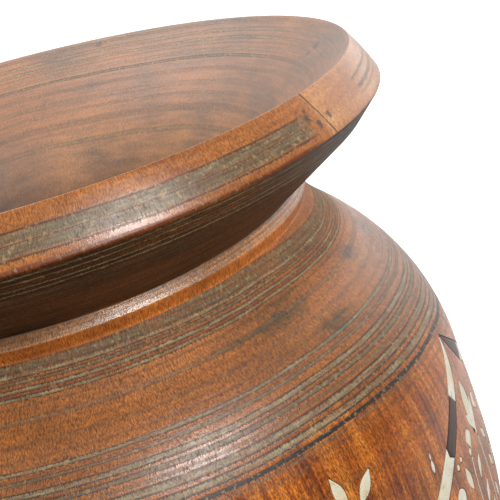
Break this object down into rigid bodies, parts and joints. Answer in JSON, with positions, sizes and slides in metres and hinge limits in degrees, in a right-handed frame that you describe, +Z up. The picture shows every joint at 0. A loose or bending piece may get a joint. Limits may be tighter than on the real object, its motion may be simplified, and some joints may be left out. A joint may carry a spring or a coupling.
{
  "type": "ghee pot",
  "caption": "Wide-mouthed turned wooden storage pot with a funnel rim, beaded neck, swelling belly and foot ring, inlaid with a zigzag band of bone and horn slips and leaves.",
  "frame": {"origin": "on the turned axis, on the plane that the foot ring rests on", "axes": "+Z up along the turned axis, -Y towards the place that the picture was taken from"},
  "size_m": [0.278, 0.278, 0.27],
  "materials": {
    "wood": "turned, oiled and waxed, worn to a soft gloss",
    "bone": "polished bone, scraped flush with the wood",
    "horn": "polished dark horn, scraped flush with the wood"
  },
  "bodies": {
    "root": {"arch_1_left_bone_1": "bone", "arch_1_left_horn_2": "horn", "arch_1_left_bone_3": "bone", "arch_1_left_horn_4": "horn", "arch_1_left_bone_5": "bone", "arch_1_right_horn_1": "horn", "arch_1_right_bone_2": "bone", "arch_1_right_horn_3": "horn", "arch_1_right_bone_4": "bone", "arch_1_right_horn_5": "horn", "arch_1_leaf": "bone", "arch_2_left_bone_1": "bone", "arch_2_left_horn_2": "horn", "arch_2_left_bone_3": "bone", "arch_2_left_horn_4": "horn", "arch_2_left_bone_5": "bone", "arch_2_right_horn_1": "horn", "arch_2_right_bone_2": "bone", "arch_2_right_horn_3": "horn", "arch_2_right_bone_4": "bone", "arch_2_right_horn_5": "horn", "arch_2_leaf": "bone", "arch_3_left_bone_1": "bone", "arch_3_left_horn_2": "horn", "arch_3_left_bone_3": "bone", "arch_3_left_horn_4": "horn", "arch_3_left_bone_5": "bone", "arch_3_right_horn_1": "horn", "arch_3_right_bone_2": "bone", "arch_3_right_horn_3": "horn", "arch_3_right_bone_4": "bone", "arch_3_right_horn_5": "horn", "arch_3_leaf": "bone", "arch_4_left_bone_1": "bone", "arch_4_left_horn_2": "horn", "arch_4_left_bone_3": "bone", "arch_4_left_horn_4": "horn", "arch_4_left_bone_5": "bone", "arch_4_right_horn_1": "horn", "arch_4_right_bone_2": "bone", "arch_4_right_horn_3": "horn", "arch_4_right_bone_4": "bone", "arch_4_right_horn_5": "horn", "arch_4_leaf": "bone", "arch_5_left_bone_1": "bone", "arch_5_left_horn_2": "horn", "arch_5_left_bone_3": "bone", "arch_5_left_horn_4": "horn", "arch_5_left_bone_5": "bone", "arch_5_right_horn_1": "horn", "arch_5_right_bone_2": "bone", "arch_5_right_horn_3": "horn", "arch_5_right_bone_4": "bone", "arch_5_right_horn_5": "horn", "arch_5_leaf": "bone", "pot_body": "wood"}
  },
  "joints": []
}
